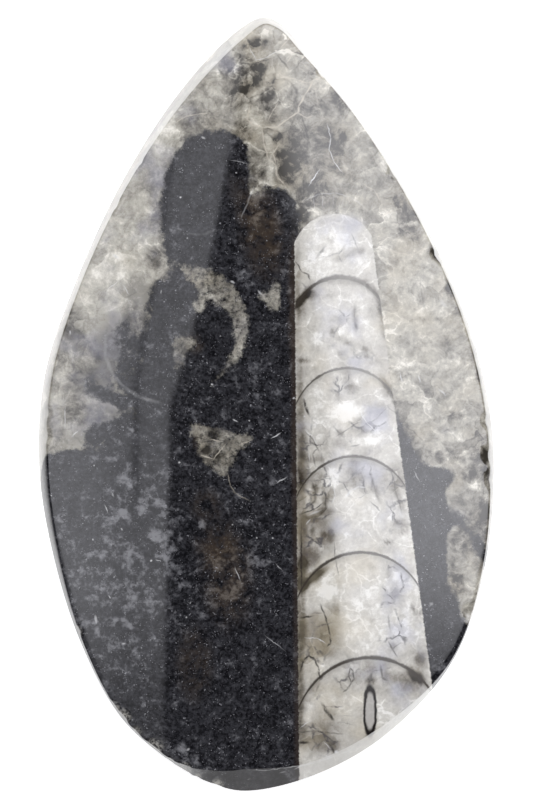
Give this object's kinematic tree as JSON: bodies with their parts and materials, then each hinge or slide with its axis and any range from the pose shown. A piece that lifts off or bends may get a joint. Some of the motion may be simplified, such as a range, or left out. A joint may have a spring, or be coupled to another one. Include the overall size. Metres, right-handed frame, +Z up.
{
  "type": "orthoceras fossil",
  "caption": "Hand-polished teardrop of dark fossil limestone with a chambered orthoceras shell cut lengthwise across its face; lies flat on its sawn back.",
  "frame": {"origin": "middle of the stone's length and width, in the plane of its flat sawn back", "axes": "+Z is up, out of the polished face; +Y runs from the round foot to the pointed tip; +X is to the right as the face is looked at with the tip up"},
  "size_m": [0.0456, 0.0774, 0.01],
  "materials": {
    "polished_fossil_limestone": "polished"
  },
  "bodies": {
    "root": {"orthoceras_stone": "polished_fossil_limestone"}
  },
  "joints": []
}
